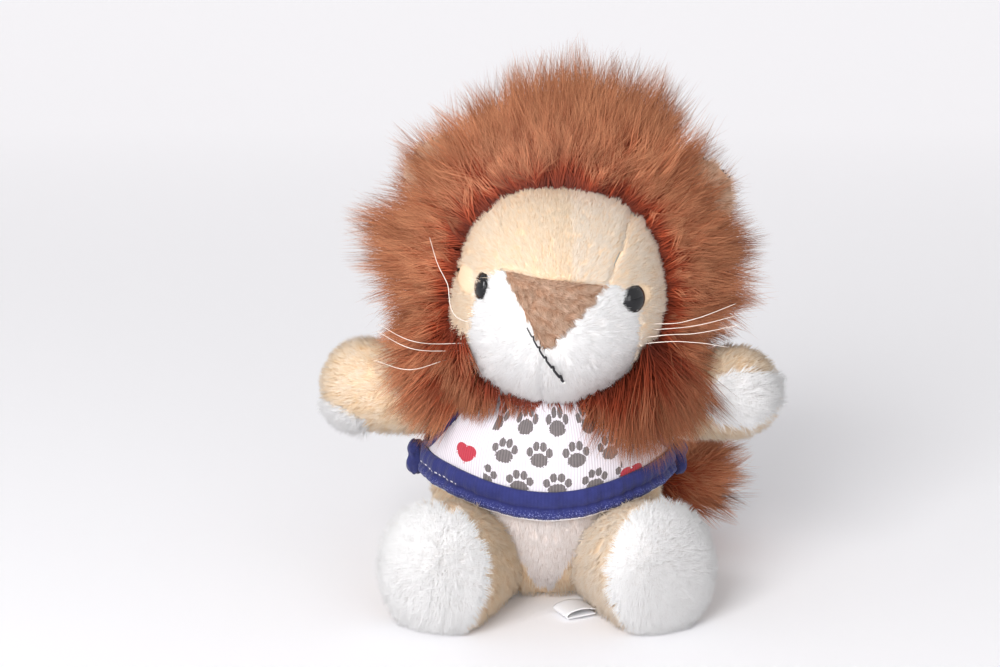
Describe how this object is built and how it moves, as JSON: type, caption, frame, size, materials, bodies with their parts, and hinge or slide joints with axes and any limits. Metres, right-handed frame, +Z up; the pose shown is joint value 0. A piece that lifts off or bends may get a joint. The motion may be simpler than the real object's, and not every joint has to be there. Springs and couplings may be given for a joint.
{
  "type": "plush lion",
  "caption": "Seated stuffed lion with a long pile mane, a rib-knit shirt, stub arms, oval soles and a tufted tail, on a flat seat.",
  "frame": {"origin": "centre of the flat patch under the torso that the toy sits on", "axes": "+Z up, the toy looks along -Y, and +X is the toy's own left"},
  "size_m": [0.1588, 0.1169, 0.1888],
  "materials": {
    "cream_plush": "short pile plush, soft sheen",
    "white_plush": "fuzzy short pile plush",
    "tan_plush": "brushed short pile plush",
    "rust_pile": "long acrylic pile, slightly shiny",
    "stuffing": "loose polyester fibre",
    "eye_plastic": "polished black",
    "washer_plastic": "natural moulded plastic",
    "black_thread": "twisted thread",
    "nylon": "clear to white nylon thread",
    "white_knit": "fine rib knit with a printed motif",
    "blue_knit": "ribbed cuff knit",
    "ribbon": "smooth woven ribbon"
  },
  "bodies": {
    "torso": {"torso_skin": "cream_plush", "tummy_panel": "white_plush", "torso_stuffing": "stuffing", "shirt_front": "white_knit", "shirt_back": "white_knit", "hem_band_front": "blue_knit", "hem_band_back": "blue_knit", "side_tab_left": "blue_knit", "side_tab_right": "blue_knit", "sleeve_band_left": "blue_knit", "sleeve_band_right": "blue_knit"},
    "head": {"forehead_gusset": "cream_plush", "nose_patch": "tan_plush", "muzzle_left": "white_plush", "muzzle_right": "white_plush", "cheek_left": "cream_plush", "cheek_right": "cream_plush", "head_back": "rust_pile", "head_stuffing": "stuffing", "eye_left": "eye_plastic", "eye_right": "eye_plastic", "eye_washer_left": "washer_plastic", "eye_washer_right": "washer_plastic", "mouth_stitch": "black_thread", "whisker_top": "nylon", "whisker_upper": "nylon", "whisker_lower": "nylon", "whisker_bottom": "nylon", "mane_crown": "rust_pile", "mane_left": "rust_pile", "mane_right": "rust_pile", "mane_back": "rust_pile", "mane_beard": "rust_pile", "ear_lining_left": "tan_plush", "ear_lining_right": "tan_plush", "ear_back_left": "tan_plush", "ear_back_right": "tan_plush"},
    "left_arm": {"arm_skin_left": "cream_plush", "paw_pad_left": "white_plush", "arm_stuffing_left": "stuffing"},
    "right_arm": {"arm_skin_right": "cream_plush", "paw_pad_right": "white_plush", "arm_stuffing_right": "stuffing"},
    "left_leg": {"leg_skin_left": "cream_plush", "sole_pad_left": "white_plush", "leg_stuffing_left": "stuffing", "label": "ribbon"},
    "right_leg": {"leg_skin_right": "cream_plush", "sole_pad_right": "white_plush", "leg_stuffing_right": "stuffing"},
    "tail": {"tail_cord": "rust_pile", "tail_tuft": "rust_pile"}
  },
  "joints": [
    {"name": "neck_turn", "type": "hinge", "parent": "torso", "child": "head", "pos_m": [0.005, -0.015, 0.076], "axis": [0, 0, 1], "range_deg": [-12, 12], "stiffness_Nm_per_rad": 0.3},
    {"name": "left_shoulder_swing", "type": "hinge", "parent": "torso", "child": "left_arm", "pos_m": [0.03632, -0.00855, 0.067], "axis": [0, -1, 0], "range_deg": [-9, 8], "stiffness_Nm_per_rad": 0.06},
    {"name": "right_shoulder_swing", "type": "hinge", "parent": "torso", "child": "right_arm", "pos_m": [-0.03368, -0.00855, 0.067], "axis": [0, 1, 0], "range_deg": [-9, 8], "stiffness_Nm_per_rad": 0.06},
    {"name": "left_hip_splay", "type": "hinge", "parent": "torso", "child": "left_leg", "pos_m": [0.0195, -0.015, 0.0145], "axis": [0, 0, 1], "range_deg": [-8, 8], "stiffness_Nm_per_rad": 0.1},
    {"name": "right_hip_splay", "type": "hinge", "parent": "torso", "child": "right_leg", "pos_m": [-0.0195, -0.015, 0.0145], "axis": [0, 0, -1], "range_deg": [-8, 8], "stiffness_Nm_per_rad": 0.1},
    {"name": "tail_swing", "type": "hinge", "parent": "torso", "child": "tail", "pos_m": [0.01, 0.02846, 0.015], "axis": [0, 0, 1], "range_deg": [-3, 20], "stiffness_Nm_per_rad": 0.03}
  ]
}
